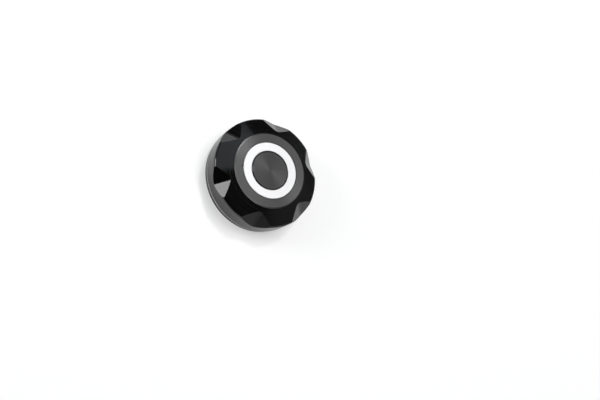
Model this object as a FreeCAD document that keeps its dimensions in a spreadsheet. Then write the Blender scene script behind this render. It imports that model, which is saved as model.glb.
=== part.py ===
import FreeCAD, Part
import math
import os
import Sketcher
from FreeCAD import Placement, Rotation, Vector

# Screw cap for a brake fluid reservoir, base ring on z = 0, cap axis on +Z, millimetres.

SIZES = [
    # outside of the cap
    ("cap_height", 15.2),
    ("body_radius", 25.3),
    ("land_radius", 17.2),
    ("shoulder_drop", 3.75),
    ("rim_round", 1.5),
    ("land_edge_break", 0.3),
    ("lip_height", 1.6),
    ("lip_inset", 0.6),
    ("lip_taper_rise", 1.8),
    # six finger notches, each a slanting V with a root that widens upwards
    ("notch_low_reach", 2.1),
    ("notch_low_root", 1.0),
    ("notch_low_drop", 8.9),
    ("notch_high_reach", 7.85),
    ("notch_high_root", 7.0),
    ("notch_high_rise", 1.1),
    ("notch_leg_angle", 75.5),
    ("notch_overrun", 4.0),
    # seat, ring and the cord that grips it
    ("ring_outer_radius", 13.0),
    ("ring_inner_radius", 9.0),
    ("ring_thickness", 2.3),
    ("ring_edge_break", 0.18),
    ("seat_depth", 2.3),
    ("seat_clearance", 0.2),
    ("boss_edge_break", 0.35),
    ("grip_cord_radius", 0.41),
    ("grip_groove_height", 1.0),
    ("pry_turn", -18.6),
    ("pry_radius", 0.42),
    ("pry_depth", 1.4),
    # inside of the cap
    ("skirt_wall", 4.3),
    ("mouth_chamfer", 0.8),
    ("crown_thickness", 4.0),
    ("chamber_rise", 2.4),
    ("seal_land", 4.6),
    ("recess_height", 2.6),
    ("recess_depth", 0.5),
    ("vent_turn", 30.0),
    ("vent_width", 1.6),
    ("vent_depth", 0.6),
    ("vent_inset", 1.0),
    ("vent_stop", 0.2),
    # slip ring and seal
    ("slip_thickness", 0.7),
    ("slip_clearance", 0.3),
    ("flange_thickness", 1.5),
    ("flange_clearance", 0.15),
    ("fold_inset", 3.2),
    ("fold_outer", 2.2),
    ("fold_wall", 1.0),
    ("disc_thickness", 1.0),
    ("disc_lift", 0.3),
]

doc = FreeCAD.newDocument("reservoir_cap")
dims = doc.addObject("Spreadsheet::Sheet", "dims")
for row, (word, value) in enumerate(SIZES, start=1):
    dims.set("A%d" % row, word)
    dims.set("B%d" % row, str(value))
    dims.setAlias("B%d" % row, word)
doc.recompute()

# Heights and radii that follow from the sizes above.
TOP = "dims.cap_height"
WALL = "dims.body_radius"
LIP = "(dims.body_radius - dims.lip_inset)"
RIM = "(dims.cap_height - dims.shoulder_drop)"
SEAT_FLOOR = "(dims.cap_height - dims.seat_depth)"
SEAT_OUT = "(dims.ring_outer_radius + dims.seat_clearance)"
BOSS = "(dims.ring_inner_radius - dims.seat_clearance)"
BORE = "(dims.body_radius - dims.skirt_wall)"
RECESS = "(dims.body_radius - dims.skirt_wall + dims.recess_depth)"
CHAMBER = "(dims.body_radius - dims.skirt_wall - dims.seal_land)"
CHAMBER_TOP = "(dims.cap_height - dims.crown_thickness)"
SEAL_SEAT = "(dims.cap_height - dims.crown_thickness - dims.chamber_rise)"
THREAD_END = "(%s - dims.recess_height)" % SEAL_SEAT
FLANGE_TOP = "(%s - dims.slip_thickness)" % SEAL_SEAT
FLANGE_BASE = "(%s - dims.flange_thickness)" % FLANGE_TOP


def origin_plane(body, role):
    for feature in body.Origin.OriginFeatures:
        if feature.Role == role:
            return feature
    raise ValueError(role)


def new_body(name):
    body = doc.addObject("PartDesign::Body", name)
    body.Label = name
    return body


def new_sketch(body, name, role, height=None, turn=None):
    sketch = body.newObject("Sketcher::SketchObject", name)
    sketch.AttachmentSupport = [(origin_plane(body, role), "")]
    sketch.MapMode = "FlatFace"
    if turn:
        angle = value_of(sketch, turn)
        sketch.AttachmentOffset = Placement(Vector(0, 0, 0), Rotation(Vector(0, 0, 1), angle))
        sketch.setExpression("AttachmentOffset.Rotation.Angle", turn)
    if height:
        sketch.setExpression("AttachmentOffset.Base.z", height)
    doc.recompute()
    return sketch


def bind(sketch, constraint, formula):
    index = sketch.addConstraint(constraint)
    sketch.setExpression("Constraints[%d]" % index, formula)


def pin_point(sketch, edge, end, across, along):
    """Fix one end of an edge at a formula for each direction, None for zero."""
    x, y = point_at(sketch, across, along)
    if across is None:
        sketch.addConstraint(Sketcher.Constraint("PointOnObject", edge, end, -2))
    else:
        bind(sketch, Sketcher.Constraint("DistanceX", -1, 1, edge, end, x), across)
    if along is None:
        sketch.addConstraint(Sketcher.Constraint("PointOnObject", edge, end, -1))
    else:
        bind(sketch, Sketcher.Constraint("DistanceY", -1, 1, edge, end, y), along)


def value_of(sketch, formula):
    if formula is None:
        return 0.0
    result = sketch.evalExpression(formula)
    return float(getattr(result, "Value", result))


def point_at(sketch, across, along):
    return value_of(sketch, across), value_of(sketch, along)


def outline(sketch, corners, arches=()):
    """Closed outline through corners. An arch is the upper half circle that leaves that corner."""
    points = [Vector(*point_at(sketch, a, b), 0) for a, b in corners]
    count = len(points)
    starts = []
    ends = []
    for i, start in enumerate(points):
        end = points[(i + 1) % count]
        if i in arches:
            middle = (start + end) * 0.5
            circle = Part.Circle(middle, Vector(0, 0, 1), start.distanceToPoint(end) / 2)
            sketch.addGeometry(Part.ArcOfCircle(circle, 0, math.pi), False)
            leftward = end.x < start.x
            starts.append(1 if leftward else 2)
            ends.append(2 if leftward else 1)
        else:
            sketch.addGeometry(Part.LineSegment(start, end), False)
            starts.append(1)
            ends.append(2)
    for i in range(count):
        after = (i + 1) % count
        sketch.addConstraint(Sketcher.Constraint("Coincident", i, ends[i], after, starts[after]))
    for i, (across, along) in enumerate(corners):
        pin_point(sketch, i, starts[i], across, along)
        if i in arches:
            level = Sketcher.Constraint("DistanceY", -1, 1, i, 3, points[i].y)
            bind(sketch, level, along)
    doc.recompute()


def spun(body, kind, name, corners, arches=()):
    """Turned feature: an outline in the XZ plane, taken once round Z."""
    sketch = new_sketch(body, name + "_outline", "XZ_Plane")
    outline(sketch, corners, arches)
    feature = body.newObject("PartDesign::" + kind, name)
    feature.Profile = sketch
    feature.ReferenceAxis = (sketch, ["V_Axis"])
    feature.Angle = 360.0
    doc.recompute()
    sketch.Visibility = False
    return feature


def circle_edges(shape, radius, height):
    names = []
    for number, edge in enumerate(shape.Edges, start=1):
        curve = edge.Curve
        if not isinstance(curve, Part.Circle):
            continue
        if abs(curve.Radius - radius) < 1e-4 and abs(curve.Center.z - height) < 1e-4:
            names.append("Edge%d" % number)
    return names


def eased(body, kind, name, base, across, along, size, setting):
    names = circle_edges(base.Shape, value_of(dims, across), value_of(dims, along))
    feature = body.newObject("PartDesign::" + kind, name)
    feature.Base = (base, names)
    feature.setExpression(setting, size)
    doc.recompute()
    return feature


def round_about(body, name, feature, count):
    pattern = body.newObject("PartDesign::PolarPattern", name)
    pattern.Originals = [feature]
    pattern.Axis = (origin_plane(body, "Z_Axis"), [""])
    pattern.Angle = 360.0
    pattern.Occurrences = count
    body.Tip = pattern
    doc.recompute()
    return pattern


def notch_section(body, name, tip, root, height):
    """One level of the V cutter: two straight legs joined by the root arc, which comes in as far as tip."""
    sketch = new_sketch(body, name, "XY_Plane", height)
    slope = "dims.notch_leg_angle"
    centre = "(%s + %s)" % (tip, root)
    touch_x = "%s - %s * sin(%s)" % (centre, root, slope)
    touch_y = "%s * cos(%s)" % (root, slope)
    end_x = "dims.body_radius + dims.notch_overrun"
    end_y = "(%s - (%s - %s / sin(%s))) * tan(%s)" % (end_x, centre, root, slope, slope)
    radius = value_of(sketch, root)
    touch = Vector(*point_at(sketch, touch_x, touch_y), 0)
    end = Vector(*point_at(sketch, end_x, end_y), 0)
    hub = Vector(value_of(sketch, centre), 0, 0)
    start = (touch - hub).getAngle(Vector(1, 0, 0))
    arc = Part.ArcOfCircle(Part.Circle(hub, Vector(0, 0, 1), radius), start, 2 * math.pi - start)
    mirror_touch = Vector(touch.x, -touch.y, 0)
    mirror_end = Vector(end.x, -end.y, 0)
    sketch.addGeometry(Part.LineSegment(end, touch), False)
    sketch.addGeometry(arc, False)
    sketch.addGeometry(Part.LineSegment(mirror_touch, mirror_end), False)
    sketch.addGeometry(Part.LineSegment(mirror_end, end), False)
    sketch.addConstraint(Sketcher.Constraint("Coincident", 0, 2, 1, 1))
    sketch.addConstraint(Sketcher.Constraint("Coincident", 1, 2, 2, 1))
    sketch.addConstraint(Sketcher.Constraint("Coincident", 2, 2, 3, 1))
    sketch.addConstraint(Sketcher.Constraint("Coincident", 3, 2, 0, 1))
    sketch.addConstraint(Sketcher.Constraint("Symmetric", 0, 2, 2, 1, -1))
    sketch.addConstraint(Sketcher.Constraint("Symmetric", 0, 1, 2, 2, -1))
    pin_point(sketch, 0, 1, end_x, end_y)
    pin_point(sketch, 0, 2, touch_x, touch_y)
    bind(sketch, Sketcher.Constraint("Radius", 1, radius), root)
    doc.recompute()
    sketch.Visibility = False
    return sketch


# Cap body: turned blank with a rounded rim and a broken land edge.
body = new_body("cap_body")
blank = spun(body, "Revolution", "turned_blank", [
    (None, None),
    (LIP, None),
    (LIP, "dims.lip_height"),
    (WALL, "dims.lip_height + dims.lip_taper_rise"),
    (WALL, RIM),
    ("dims.land_radius", TOP),
    (None, TOP),
])
rim = eased(body, "Fillet", "rim_edge", blank, WALL, RIM, "dims.rim_round", "Radius")
land = eased(body, "Chamfer", "land_edge", rim, "dims.land_radius", TOP, "dims.land_edge_break", "Size")

# Annular seat for the ring, and the small groove in the boss for its grip.
seat = spun(body, "Groove", "ring_seat", [
    (BOSS, SEAT_FLOOR),
    (SEAT_OUT, SEAT_FLOOR),
    (SEAT_OUT, TOP),
    (BOSS + " - dims.boss_edge_break", TOP),
    (BOSS, TOP + " - dims.boss_edge_break"),
])
grip_middle = "(dims.cap_height - dims.seat_depth * 0.52)"
grip_floor = "dims.ring_inner_radius - 2 * dims.grip_cord_radius"
grip_groove = spun(body, "Groove", "grip_groove", [
    (grip_floor, grip_middle + " - dims.grip_groove_height * 0.5"),
    (BOSS, grip_middle + " - dims.grip_groove_height * 0.5"),
    (BOSS, grip_middle + " + dims.grip_groove_height * 0.5"),
    (grip_floor, grip_middle + " + dims.grip_groove_height * 0.5"),
])

# Inside: thread wall with a lead-in, seal recess above it, then the air chamber.
inside = spun(body, "Groove", "inside", [
    (None, None),
    (BORE + " + dims.mouth_chamfer", None),
    (BORE, "dims.mouth_chamfer"),
    (BORE, THREAD_END),
    (RECESS, THREAD_END + " + dims.recess_depth * 0.6"),
    (RECESS, SEAL_SEAT),
    (CHAMBER, SEAL_SEAT),
    (CHAMBER, CHAMBER_TOP),
    (None, CHAMBER_TOP),
])

# Vent channels over the slip ring, from the air chamber to the edge of the recess.
vent_sketch = new_sketch(body, "vent_outline", "XY_Plane", SEAL_SEAT, "dims.vent_turn")
half = "dims.vent_width * 0.5"
vent_in = CHAMBER + " - dims.vent_inset"
vent_out = RECESS + " - dims.vent_stop"
x0 = value_of(vent_sketch, vent_in)
x1 = value_of(vent_sketch, vent_out)
y1 = value_of(vent_sketch, half)
vent_sketch.addGeometry(Part.LineSegment(Vector(x0, y1, 0), Vector(x1, y1, 0)), False)
vent_sketch.addGeometry(Part.LineSegment(Vector(x1, y1, 0), Vector(x1, -y1, 0)), False)
vent_sketch.addGeometry(Part.LineSegment(Vector(x1, -y1, 0), Vector(x0, -y1, 0)), False)
vent_sketch.addGeometry(Part.LineSegment(Vector(x0, -y1, 0), Vector(x0, y1, 0)), False)
for i in range(4):
    vent_sketch.addConstraint(Sketcher.Constraint("Coincident", i, 2, (i + 1) % 4, 1))
vent_sketch.addConstraint(Sketcher.Constraint("Symmetric", 0, 1, 2, 2, -1))
vent_sketch.addConstraint(Sketcher.Constraint("Symmetric", 0, 2, 2, 1, -1))
pin_point(vent_sketch, 0, 1, vent_in, half)
pin_point(vent_sketch, 0, 2, vent_out, half)
doc.recompute()
before = inside.Shape.Volume
vent = body.newObject("PartDesign::Pocket", "vent_channel")
vent.Profile = vent_sketch
vent.setExpression("Length", "dims.vent_depth")
vent.Reversed = True
doc.recompute()
if before - vent.Shape.Volume < 0.5:
    vent.Reversed = False
    doc.recompute()
vent_sketch.Visibility = False
vents = round_about(body, "vent_channels", vent, 3)

# Pry notch beside the ring.
pry_sketch = new_sketch(body, "pry_outline", "XY_Plane", TOP, "dims.pry_turn")
pry_middle = SEAT_OUT + " + dims.pry_radius * 0.6"
pry_at = value_of(pry_sketch, pry_middle)
pry_size = value_of(pry_sketch, "dims.pry_radius")
pry_sketch.addGeometry(Part.Circle(Vector(pry_at, 0, 0), Vector(0, 0, 1), pry_size), False)
bind(pry_sketch, Sketcher.Constraint("Radius", 0, pry_size), "dims.pry_radius")
pin_point(pry_sketch, 0, 3, pry_middle, None)
doc.recompute()
pry = body.newObject("PartDesign::Pocket", "pry_notch")
pry.Profile = pry_sketch
pry.setExpression("Length", "dims.pry_depth")
doc.recompute()
pry_sketch.Visibility = False

# Finger notches: a straight loft between two levels of the V cutter, six times round.
low = notch_section(
    body, "notch_low", "(dims.body_radius + dims.notch_low_reach)", "dims.notch_low_root",
    "dims.cap_height - dims.notch_low_drop")
high = notch_section(
    body, "notch_high", "(dims.body_radius - dims.notch_high_reach)", "dims.notch_high_root",
    "dims.cap_height + dims.notch_high_rise")
notch = body.newObject("PartDesign::SubtractiveLoft", "finger_notch")
notch.Profile = low
notch.Sections = [high]
notch.Ruled = True
doc.recompute()
notches = round_about(body, "finger_notches", notch, 6)

# Silver ring, with its sharp edges broken.
ring = new_body("accent_ring")
ring_base = SEAT_FLOOR
ring_top = "(%s + dims.ring_thickness)" % SEAT_FLOOR
ring_blank = spun(ring, "Revolution", "ring_blank", [
    ("dims.ring_inner_radius", ring_base),
    ("dims.ring_outer_radius", ring_base),
    ("dims.ring_outer_radius", ring_top + " - dims.ring_edge_break"),
    ("dims.ring_outer_radius - dims.ring_edge_break", ring_top),
    ("dims.ring_inner_radius + dims.ring_edge_break", ring_top),
    ("dims.ring_inner_radius", ring_top + " - dims.ring_edge_break"),
])

# Rubber cord that grips the ring from the boss.
grip = doc.addObject("Part::Torus", "grip_ring")
grip.Label = "grip_ring"
grip.setExpression("Radius1", "dims.ring_inner_radius - dims.grip_cord_radius")
grip.setExpression("Radius2", "dims.grip_cord_radius")
grip.setExpression("Placement.Base.z", grip_middle)

# Slip ring under the seal seat.
slip = new_body("slip_ring")
slip_in = CHAMBER + " + dims.slip_clearance"
slip_out = RECESS + " - dims.slip_clearance"
slip_blank = spun(slip, "Revolution", "slip_blank", [
    (slip_in, FLANGE_TOP),
    (slip_out, FLANGE_TOP),
    (slip_out, SEAL_SEAT),
    (slip_in, SEAL_SEAT),
])

# Seal: flange, one upward fold and a centre disc.
seal = new_body("diaphragm_seal")
flange_out = RECESS + " - dims.flange_clearance"
fold_far = "(%s - dims.fold_inset + dims.fold_outer)" % CHAMBER
fold_near = "(%s - dims.fold_inset - dims.fold_outer)" % CHAMBER
disc_base = "(%s + dims.disc_lift)" % FLANGE_BASE
disc_top = "(%s + dims.disc_thickness)" % disc_base
seal_blank = spun(seal, "Revolution", "seal_blank", [
    (flange_out, FLANGE_BASE),
    (flange_out, FLANGE_TOP),
    (fold_far, FLANGE_TOP),
    (fold_near, FLANGE_TOP),
    (fold_near, disc_top),
    (None, disc_top),
    (None, disc_base),
    (fold_near + " + dims.fold_wall", disc_base),
    (fold_near + " + dims.fold_wall", FLANGE_TOP),
    (fold_far + " - dims.fold_wall", FLANGE_TOP),
    (fold_far + " - dims.fold_wall", FLANGE_BASE),
], arches=(2, 8))

doc.recompute()

pieces = {"cap_body": body, "accent_ring": ring, "grip_ring": grip, "slip_ring": slip, "diaphragm_seal": seal}
for item in doc.Objects:
    if "Invalid" in item.State or "Error" in item.State:
        raise RuntimeError("not built: " + item.Name)
os.makedirs("parts", exist_ok=True)
for label, piece in pieces.items():
    shape = piece.Shape
    if shape.isNull() or not shape.isValid() or len(shape.Solids) != 1:
        raise RuntimeError("bad shape: " + label)
    shape.exportStep("parts/%s.step" % label)
    print(label, round(shape.Volume, 1), shape.BoundBox)
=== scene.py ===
import math

import bmesh
import bpy
from mathutils import Matrix, Vector


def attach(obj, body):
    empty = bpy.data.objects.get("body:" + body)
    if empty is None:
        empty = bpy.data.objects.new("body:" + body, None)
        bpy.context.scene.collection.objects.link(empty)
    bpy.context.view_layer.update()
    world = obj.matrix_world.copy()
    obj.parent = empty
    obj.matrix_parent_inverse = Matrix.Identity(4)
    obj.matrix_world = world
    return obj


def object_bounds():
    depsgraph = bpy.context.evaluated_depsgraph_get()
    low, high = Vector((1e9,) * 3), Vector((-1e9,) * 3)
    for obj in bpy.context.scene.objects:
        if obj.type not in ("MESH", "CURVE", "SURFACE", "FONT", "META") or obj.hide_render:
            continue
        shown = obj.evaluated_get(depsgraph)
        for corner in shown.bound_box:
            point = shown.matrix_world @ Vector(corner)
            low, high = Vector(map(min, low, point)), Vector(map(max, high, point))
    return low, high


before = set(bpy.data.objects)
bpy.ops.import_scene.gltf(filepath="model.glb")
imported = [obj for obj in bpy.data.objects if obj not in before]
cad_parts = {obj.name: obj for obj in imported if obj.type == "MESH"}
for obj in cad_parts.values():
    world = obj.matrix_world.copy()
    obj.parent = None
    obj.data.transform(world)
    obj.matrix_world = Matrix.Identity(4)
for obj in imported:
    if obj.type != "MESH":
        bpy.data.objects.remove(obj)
cad_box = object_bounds()

MM = 0.001
MM_PER_METRE = 1000.0
WHITE = (1, 1, 1)
CAP_TOP = cad_box[1][2]
CAP_RADIUS = cad_box[1][0]

# Camera of the photograph, in the cap's own frame: where it stands over the top face and how it is
# turned. It was fitted to pixels counted from their centres, hence the shift of half a pixel.
CAMERA_PLACE = Vector((200.316, 60.843, 341.418)) * MM + Vector((0, 0, CAP_TOP))
CAMERA_FORWARD = Vector((-0.52264, -0.11092, -0.84531))
CAMERA_UP = Vector((-0.18093, -0.95449, 0.23711))
CAMERA_LENS = 54.11
SENSOR_WIDTH = 36.0
HALF_PIXEL = 0.5 / 600

# Thread inside the skirt. Low is the middle of the ridge at its lower end, foot and tip are half
# widths, the run-out is the share of its length over which an end fades, and the foot sinks a
# little into the bore's wall. The crest's flat is a share of the tip, its corner one of the depth.
THREAD_ROOT = 21.0 * MM
THREAD_CREST = 19.9 * MM
THREAD_PITCH = 3.2 * MM
THREAD_LOW = 1.85 * MM
THREAD_TURNS = 1.0
THREAD_FOOT = 1.0 * MM
THREAD_TIP = 0.45 * MM
THREAD_RUN_OUT = 0.09
THREAD_SINK = 0.05 * MM
CREST_FLAT = 0.6
CREST_CORNER = 0.92
SECTIONS_PER_TURN = 120

# Noise of the turned lines, the grain and its clouds. Lines level off softly at their crest, and
# a finish spreads its colours and roughness over the noise from low to high.
LINE_DETAIL = 3.0
GRAIN_DETAIL = 2.0
CLOUD_DETAIL = 3.0
LINE_CREST = 0.7
NOISE_LOW = 0.3
NOISE_HIGH = 0.7

# Where the cap's finish changes, in millimetres: the bevel above the base lip, which lies this far
# in from the wall at most and carries a painted highlight, and the flat top with the land's broken
# edge and the centre boss.
BEVEL_LOW = 1.7
BEVEL_HIGH = 3.6
BEVEL_DEPTH = 1.1
FLAT_WITHIN = 0.01
LAND_EDGE = 0.12
BOSS_RADIUS = 9.0

# How much rougher the land, its broken edge and the centre boss are than the other faces.
FACE_FEEDS = {"Land": 0.21, "Edge": 0.1, "Boss": 0.31}

# Darkest and lightest colour, and lowest and highest roughness, of each finish.
BLACK_COLOURS = ((0.001, 0.001, 0.0011), (0.002, 0.002, 0.0022))
BLACK_ROUGHNESS = (0.1, 0.22)
SILVER_COLOURS = ((0.6, 0.6, 0.605), (0.68, 0.68, 0.685))
SILVER_ROUGHNESS = (0.53, 0.6)
CORD_COLOURS = ((0.012, 0.012, 0.013), (0.02, 0.02, 0.021))
CORD_ROUGHNESS = (0.44, 0.56)
SEAL_COLOURS = ((0.014, 0.014, 0.015), (0.024, 0.024, 0.025))
SEAL_ROUGHNESS = (0.54, 0.66)
SLIP_COLOURS = ((0.78, 0.76, 0.69), (0.86, 0.84, 0.78))
SLIP_ROUGHNESS = (0.42, 0.55)
# Bright colour painted on the bevel as a highlight, and how steeply it grows at a glancing angle.
BEVEL_PAINTED_HIGHLIGHT = (0.9, 0.895, 0.89)
PAINTED_HIGHLIGHT_POWER = 2.0
TURNED_DEPTH = 0.02 * MM
MOULDED_DEPTH = 0.03 * MM

# Stage. The floor's lift makes it read white, and the room lightens from the edge of its far side
# to the middle, both as cosines of the angle from there.
FLOOR_REACH = 3.0
FLOOR_COLOUR = (0.68, 0.68, 0.68)
FLOOR_LIFT = 0.47
LIGHT_DISTANCE = 1.3
CARD_BLUE = (0.85, 0.92, 1.0)
FAR_SIDE = (-0.694, 0.583, 0.423)
FAR_SIDE_EDGE = 0.7
FAR_SIDE_MIDDLE = 0.98
ROOM_DARK = 0.02
ROOM_LIGHT = 0.16


# Shared effects: small node groups that give masks and heights.

def new_group(name, inputs, outputs):
    group = bpy.data.node_groups.new(name, "ShaderNodeTree")
    for label, default in inputs:
        socket = group.interface.new_socket(label, in_out="INPUT", socket_type="NodeSocketFloat")
        socket.default_value = default
    for label in outputs:
        group.interface.new_socket(label, in_out="OUTPUT", socket_type="NodeSocketFloat")
    return group, group.nodes.new("NodeGroupInput"), group.nodes.new("NodeGroupOutput")


def math_node(tree, operation, first, second=None):
    node = tree.nodes.new("ShaderNodeMath")
    node.operation = operation
    for socket, value in zip(node.inputs, (first, second)):
        if value is None:
            continue
        if isinstance(value, (int, float)):
            socket.default_value = value
        else:
            tree.links.new(value, socket)
    return node.outputs[0]


def place_on_cap(tree):
    """Distance from the cap's axis and height above its base, both in millimetres."""
    place = tree.nodes.new("ShaderNodeTexCoord")
    split = tree.nodes.new("ShaderNodeSeparateXYZ")
    tree.links.new(place.outputs["Object"], split.inputs[0])
    x, y, z = split.outputs
    x_square = math_node(tree, "MULTIPLY", x, x)
    y_square = math_node(tree, "MULTIPLY", y, y)
    radius = math_node(tree, "SQRT", math_node(tree, "ADD", x_square, y_square))
    radius_mm = math_node(tree, "MULTIPLY", radius, MM_PER_METRE)
    height_mm = math_node(tree, "MULTIPLY", z, MM_PER_METRE)
    return radius_mm, height_mm


def lathe_lines_group():
    """Fine rings left by turning: a height that changes with the distance travelled by the tool."""
    inputs = [("Lines per mm", 6.0), ("Unevenness", 0.5)]
    group, given, result = new_group("lathe_lines", inputs, ["Height", "Mask"])
    radius, height = place_on_cap(group)
    travel = math_node(group, "ADD", radius, height)
    lines = math_node(group, "MULTIPLY", travel, given.outputs["Lines per mm"])
    noise = group.nodes.new("ShaderNodeTexNoise")
    noise.noise_dimensions = "1D"
    noise.inputs["Scale"].default_value = 1.0
    noise.inputs["Detail"].default_value = LINE_DETAIL
    group.links.new(lines, noise.inputs["W"])
    group.links.new(given.outputs["Unevenness"], noise.inputs["Roughness"])
    levelled = math_node(group, "SMOOTH_MIN", noise.outputs["Fac"], LINE_CREST)
    group.links.new(noise.outputs["Fac"], result.inputs["Height"])
    group.links.new(levelled, result.inputs["Mask"])
    return group


def blasted_grain_group():
    """Even speckle of a bead blasted or moulded skin, and wide faint clouds."""
    inputs = [("Grains per mm", 9.0), ("Cloud size mm", 6.0)]
    group, given, result = new_group("blasted_grain", inputs, ["Height", "Cloud"])
    place = group.nodes.new("ShaderNodeTexCoord")
    grains = math_node(group, "MULTIPLY", given.outputs["Grains per mm"], MM_PER_METRE)
    clouds = math_node(group, "DIVIDE", MM_PER_METRE, given.outputs["Cloud size mm"])
    for label, scale, detail in (("Height", grains, GRAIN_DETAIL), ("Cloud", clouds, CLOUD_DETAIL)):
        noise = group.nodes.new("ShaderNodeTexNoise")
        noise.inputs["Detail"].default_value = detail
        group.links.new(place.outputs["Object"], noise.inputs["Vector"])
        group.links.new(scale, noise.inputs["Scale"])
        group.links.new(noise.outputs["Fac"], result.inputs[label])
    return group


def base_bevel_group():
    """Mask of the narrow bevel above the base lip, on the outside only, where a highlight is
    painted.
    """
    inner = CAP_RADIUS / MM - BEVEL_DEPTH
    inputs = [("Low mm", BEVEL_LOW), ("High mm", BEVEL_HIGH), ("Inner radius mm", inner)]
    group, given, result = new_group("base_bevel", inputs, ["Mask"])
    radius, height = place_on_cap(group)
    above = math_node(group, "GREATER_THAN", height, given.outputs["Low mm"])
    below = math_node(group, "LESS_THAN", height, given.outputs["High mm"])
    outside = math_node(group, "GREATER_THAN", radius, given.outputs["Inner radius mm"])
    band = math_node(group, "MULTIPLY", math_node(group, "MULTIPLY", above, below), outside)
    group.links.new(band, result.inputs["Mask"])
    return group


def flat_top_group():
    """Masks of the faces turned at the top: the land, its broken edge and the boss inside it."""
    inputs = [("Top mm", CAP_TOP / MM), ("Edge mm", LAND_EDGE), ("Boss radius mm", BOSS_RADIUS)]
    group, given, result = new_group("flat_top", inputs, ["Land", "Edge", "Boss"])
    radius, height = place_on_cap(group)
    below_top = math_node(group, "SUBTRACT", given.outputs["Top mm"], height)
    flat = math_node(group, "LESS_THAN", below_top, FLAT_WITHIN)
    near = math_node(group, "LESS_THAN", below_top, given.outputs["Edge mm"])
    outside = math_node(group, "GREATER_THAN", radius, given.outputs["Boss radius mm"])
    land = math_node(group, "MULTIPLY", flat, outside)
    group.links.new(land, result.inputs["Land"])
    group.links.new(math_node(group, "SUBTRACT", near, flat), result.inputs["Edge"])
    group.links.new(math_node(group, "SUBTRACT", flat, land), result.inputs["Boss"])
    return group


lathe_lines = lathe_lines_group()
blasted_grain = blasted_grain_group()
base_bevel = base_bevel_group()
flat_top = flat_top_group()


# Finishes.

def new_finish(name):
    material = bpy.data.materials.new(name)
    material.use_nodes = True
    tree = material.node_tree
    return material, tree, tree.nodes["Principled BSDF"]


def use_group(tree, group, **values):
    node = tree.nodes.new("ShaderNodeGroup")
    node.node_tree = group
    for label, value in values.items():
        node.inputs[label.replace("_", " ")].default_value = value
    return node


def spread(tree, source, limits):
    """A value between two limits as the source goes over the middle of its range."""
    node = tree.nodes.new("ShaderNodeMapRange")
    node.inputs["From Min"].default_value = NOISE_LOW
    node.inputs["From Max"].default_value = NOISE_HIGH
    node.inputs["To Min"].default_value, node.inputs["To Max"].default_value = limits
    tree.links.new(source, node.inputs["Value"])
    return node.outputs["Result"]


def blend_colours(tree, source, colours):
    """A colour between two as the source goes over the middle of its range."""
    ramp = tree.nodes.new("ShaderNodeValToRGB")
    for stop, position, colour in zip(ramp.color_ramp.elements, (NOISE_LOW, NOISE_HIGH), colours):
        stop.position = position
        stop.color = (*colour, 1)
    tree.links.new(source, ramp.inputs["Fac"])
    return ramp.outputs["Color"]


def relief(tree, height, strength, depth, below=None):
    """Normal of a bump, laid on the one below it if there is one."""
    bump = tree.nodes.new("ShaderNodeBump")
    bump.inputs["Strength"].default_value = strength
    bump.inputs["Distance"].default_value = depth
    tree.links.new(height, bump.inputs["Height"])
    if below:
        tree.links.new(below, bump.inputs["Normal"])
    return bump.outputs["Normal"]


def paint_bevel_highlight(tree, shader, colour):
    """Painted highlight on the bevel above the base lip: bright metal colour, growing at a glance.
    """
    bevel = use_group(tree, base_bevel)
    glance = tree.nodes.new("ShaderNodeLayerWeight")
    glance.inputs["Blend"].default_value = 0.5
    growth = math_node(tree, "POWER", glance.outputs["Facing"], PAINTED_HIGHLIGHT_POWER)
    painted_highlight = math_node(tree, "MULTIPLY", bevel.outputs["Mask"], growth)
    bright = tree.nodes.new("ShaderNodeMix")
    bright.data_type = "RGBA"
    bright.inputs["B"].default_value = (*BEVEL_PAINTED_HIGHLIGHT, 1)
    tree.links.new(painted_highlight, bright.inputs["Factor"])
    tree.links.new(colour, bright.inputs["A"])
    tree.links.new(bright.outputs["Result"], shader.inputs["Base Color"])
    tree.links.new(painted_highlight, shader.inputs["Metallic"])


def black_anodised_finish():
    material, tree, shader = new_finish("black_anodised")
    lines = use_group(tree, lathe_lines, Lines_per_mm=2.4, Unevenness=0.6)
    grain = use_group(tree, blasted_grain, Grains_per_mm=10.0, Cloud_size_mm=9.0)
    top = use_group(tree, flat_top)
    # The bevel above the base lip gets a painted highlight over the black colours.
    paint_bevel_highlight(tree, shader, blend_colours(tree, grain.outputs["Cloud"], BLACK_COLOURS))
    roughness = spread(tree, lines.outputs["Mask"], BLACK_ROUGHNESS)
    for face, feed in FACE_FEEDS.items():
        rougher = math_node(tree, "MULTIPLY", top.outputs[face], feed)
        roughness = math_node(tree, "ADD", roughness, rougher)
    tree.links.new(roughness, shader.inputs["Roughness"])
    shader.inputs["IOR"].default_value = 1.56
    # A quarter turn spreads the highlights across the turned lines.
    shader.inputs["Anisotropic"].default_value = 0.8
    shader.inputs["Anisotropic Rotation"].default_value = 0.25
    turned = relief(tree, lines.outputs["Height"], strength=0.25, depth=TURNED_DEPTH)
    skin = relief(tree, grain.outputs["Height"], strength=0.05, depth=TURNED_DEPTH, below=turned)
    tree.links.new(skin, shader.inputs["Normal"])
    return material


def silver_anodised_finish():
    material, tree, shader = new_finish("silver_anodised")
    lines = use_group(tree, lathe_lines, Lines_per_mm=4.0, Unevenness=0.5)
    grain = use_group(tree, blasted_grain, Grains_per_mm=14.0, Cloud_size_mm=5.0)
    colour = blend_colours(tree, lines.outputs["Height"], SILVER_COLOURS)
    roughness = spread(tree, grain.outputs["Height"], SILVER_ROUGHNESS)
    turned = relief(tree, lines.outputs["Height"], strength=0.08, depth=TURNED_DEPTH)
    tree.links.new(colour, shader.inputs["Base Color"])
    tree.links.new(roughness, shader.inputs["Roughness"])
    tree.links.new(turned, shader.inputs["Normal"])
    shader.inputs["Metallic"].default_value = 1.0
    return material


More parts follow.
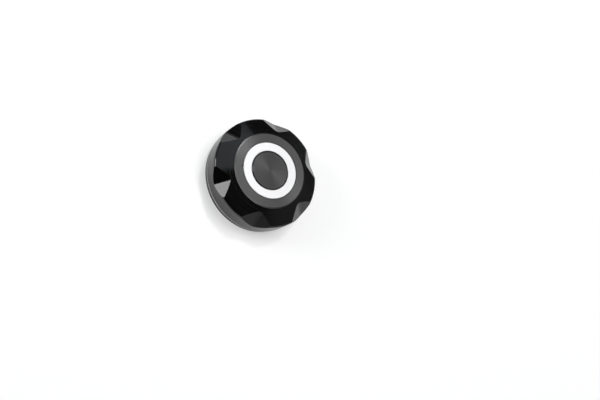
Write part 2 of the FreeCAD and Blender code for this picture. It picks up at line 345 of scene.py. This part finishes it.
def rubber_finish(name, colours, limits):
    material, tree, shader = new_finish(name)
    grain = use_group(tree, blasted_grain, Grains_per_mm=7.0, Cloud_size_mm=4.0)
    colour = blend_colours(tree, grain.outputs["Cloud"], colours)
    roughness = spread(tree, grain.outputs["Height"], limits)
    moulded = relief(tree, grain.outputs["Height"], strength=0.2, depth=MOULDED_DEPTH)
    tree.links.new(colour, shader.inputs["Base Color"])
    tree.links.new(roughness, shader.inputs["Roughness"])
    tree.links.new(moulded, shader.inputs["Normal"])
    shader.inputs["Specular IOR Level"].default_value = 0.4
    return material


def slip_plastic_finish():
    material, tree, shader = new_finish("slip_plastic")
    lines = use_group(tree, lathe_lines, Lines_per_mm=3.0, Unevenness=0.4)
    grain = use_group(tree, blasted_grain, Grains_per_mm=5.0, Cloud_size_mm=7.0)
    colour = blend_colours(tree, grain.outputs["Cloud"], SLIP_COLOURS)
    roughness = spread(tree, grain.outputs["Height"], SLIP_ROUGHNESS)
    turned = relief(tree, lines.outputs["Height"], strength=0.1, depth=TURNED_DEPTH)
    tree.links.new(colour, shader.inputs["Base Color"])
    tree.links.new(roughness, shader.inputs["Roughness"])
    tree.links.new(turned, shader.inputs["Normal"])
    return material


def dress(node, material):
    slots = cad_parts[node].data.materials
    slots.clear()
    slots.append(material)


black_anodised = black_anodised_finish()
dress("cap_body", black_anodised)
dress("accent_ring", silver_anodised_finish())
dress("grip_ring", rubber_finish("cord_rubber", CORD_COLOURS, CORD_ROUGHNESS))
dress("slip_ring", slip_plastic_finish())
dress("diaphragm_seal", rubber_finish("seal_rubber", SEAL_COLOURS, SEAL_ROUGHNESS))


# Thread ridge: a rounded-off V that winds up the skirt and fades into the wall at both ends.

def put_in_scene(name, data):
    item = bpy.data.objects.new(name, data)
    bpy.context.scene.collection.objects.link(item)
    return item


def thread_section(mesh, profile, share):
    """Points across the ridge at a share of its length."""
    turn = share * THREAD_TURNS * 2 * math.pi
    fade = min(1.0, share / THREAD_RUN_OUT, (1 - share) / THREAD_RUN_OUT)
    reach = (THREAD_ROOT - THREAD_CREST) * math.sin(fade * math.pi / 2)
    centre = THREAD_LOW + share * THREAD_TURNS * THREAD_PITCH
    points = []
    for rise, proud in profile:
        radius = THREAD_ROOT + THREAD_SINK - (reach + THREAD_SINK) * proud
        place = (radius * math.cos(turn), radius * math.sin(turn), centre + rise)
        points.append(mesh.verts.new(place))
    return points


def thread_ridge():
    mesh = bmesh.new()
    steps = int(SECTIONS_PER_TURN * THREAD_TURNS)
    crest = THREAD_TIP * CREST_FLAT
    profile = [(-THREAD_FOOT, 0.0), (-THREAD_TIP, CREST_CORNER), (-crest, 1.0),
               (crest, 1.0), (THREAD_TIP, CREST_CORNER), (THREAD_FOOT, 0.0)]
    sections = [thread_section(mesh, profile, step / steps) for step in range(steps + 1)]
    for one, two in zip(sections, sections[1:]):
        for i in range(len(profile) - 1):
            mesh.faces.new((one[i], one[i + 1], two[i + 1], two[i])).smooth = True
        foot = mesh.faces.new((one[-1], one[0], two[0], two[-1]))
        for edge in foot.edges:
            edge.smooth = False
    mesh.faces.new(sections[0])
    mesh.faces.new(sections[-1])
    bmesh.ops.recalc_face_normals(mesh, faces=mesh.faces)
    data = bpy.data.meshes.new("thread_ridge")
    mesh.to_mesh(data)
    mesh.free()
    data.materials.append(black_anodised)
    ridge = put_in_scene("thread_ridge", data)
    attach(ridge, "root")


thread_ridge()


# Stage: pale floor, dim room, soft boxes and the camera.

def pale_floor():
    mesh = bpy.data.meshes.new("floor")
    far = FLOOR_REACH
    corners = [(-far, -far, 0), (far, -far, 0), (far, far, 0), (-far, far, 0)]
    mesh.from_pydata(corners, [], [(0, 1, 2, 3)])
    material, tree, shader = new_finish("pale_floor")
    shader.inputs["Base Color"].default_value = (*FLOOR_COLOUR, 1)
    shader.inputs["Roughness"].default_value = 0.9
    shader.inputs["Specular IOR Level"].default_value = 0.0
    path = tree.nodes.new("ShaderNodeLightPath")
    seen = math_node(tree, "MAXIMUM", path.outputs["Is Camera Ray"], path.outputs["Is Glossy Ray"])
    seen = math_node(tree, "MAXIMUM", seen, path.outputs["Is Transmission Ray"])
    lift = math_node(tree, "MULTIPLY", seen, FLOOR_LIFT)
    shader.inputs["Emission Color"].default_value = (*WHITE, 1)
    tree.links.new(lift, shader.inputs["Emission Strength"])
    mesh.materials.append(material)
    floor = put_in_scene("floor", mesh)


def dim_room():
    """Dark all round, a little lighter on the far side."""
    world = bpy.data.worlds.new("dim_room")
    world.use_nodes = True
    tree = world.node_tree
    room = tree.nodes["Background"]
    place = tree.nodes.new("ShaderNodeTexCoord")
    facing = tree.nodes.new("ShaderNodeVectorMath")
    facing.operation = "DOT_PRODUCT"
    facing.inputs[1].default_value = FAR_SIDE
    level = tree.nodes.new("ShaderNodeMapRange")
    level.interpolation_type = "SMOOTHSTEP"
    level.inputs["From Min"].default_value = FAR_SIDE_EDGE
    level.inputs["From Max"].default_value = FAR_SIDE_MIDDLE
    level.inputs["To Min"].default_value = ROOM_DARK
    level.inputs["To Max"].default_value = ROOM_LIGHT
    room.inputs["Color"].default_value = (*WHITE, 1)
    tree.links.new(place.outputs["Generated"], facing.inputs[0])
    tree.links.new(facing.outputs["Value"], level.inputs["Value"])
    tree.links.new(level.outputs["Result"], room.inputs["Strength"])
    bpy.context.scene.world = world


def soft_box(name, azimuth, elevation, across, tall, radiance, colour=WHITE):
    """Area light that faces the cap: its direction and its half sizes as seen there, in degrees."""
    turn, rise = math.radians(azimuth), math.radians(elevation)
    level = math.cos(rise)
    towards = Vector((math.cos(turn) * level, math.sin(turn) * level, math.sin(rise)))
    lamp = bpy.data.lights.new(name, "AREA")
    lamp.shape = "RECTANGLE"
    lamp.size = 2 * LIGHT_DISTANCE * math.tan(math.radians(across))
    lamp.size_y = 2 * LIGHT_DISTANCE * math.tan(math.radians(tall))
    lamp.energy = radiance * math.pi * lamp.size * lamp.size_y
    lamp.color = colour
    box = put_in_scene(name, lamp)
    box.location = towards * LIGHT_DISTANCE
    box.rotation_mode = "QUATERNION"
    box.rotation_quaternion = towards.to_track_quat("Z", "Y")


def camera_as_photographed():
    lens = bpy.data.cameras.new("camera")
    lens.lens = CAMERA_LENS
    lens.sensor_width = SENSOR_WIDTH
    lens.shift_x = -HALF_PIXEL
    lens.shift_y = HALF_PIXEL
    forward = CAMERA_FORWARD.normalized()
    right = forward.cross(CAMERA_UP).normalized()
    up = right.cross(forward)
    turned = Matrix((right, up, -forward)).transposed().to_4x4()
    camera = put_in_scene("camera", lens)
    camera.matrix_world = Matrix.Translation(CAMERA_PLACE) @ turned
    bpy.context.scene.camera = camera


pale_floor()
dim_room()
soft_box("top_box", azimuth=-163, elevation=72.5, across=14, tall=13, radiance=6.0)
soft_box("top_core", azimuth=-127, elevation=59, across=4.5, tall=4.5, radiance=28.0)
soft_box("side_strip", azimuth=-33, elevation=19, across=12, tall=12, radiance=6.8)
soft_box("upper_card", azimuth=-81, elevation=49, across=31, tall=17, radiance=0.6,
         colour=CARD_BLUE)
soft_box("low_card", azimuth=86, elevation=13, across=37, tall=13, radiance=0.48)
camera_as_photographed()

bpy.context.scene.view_settings.view_transform = "Standard"
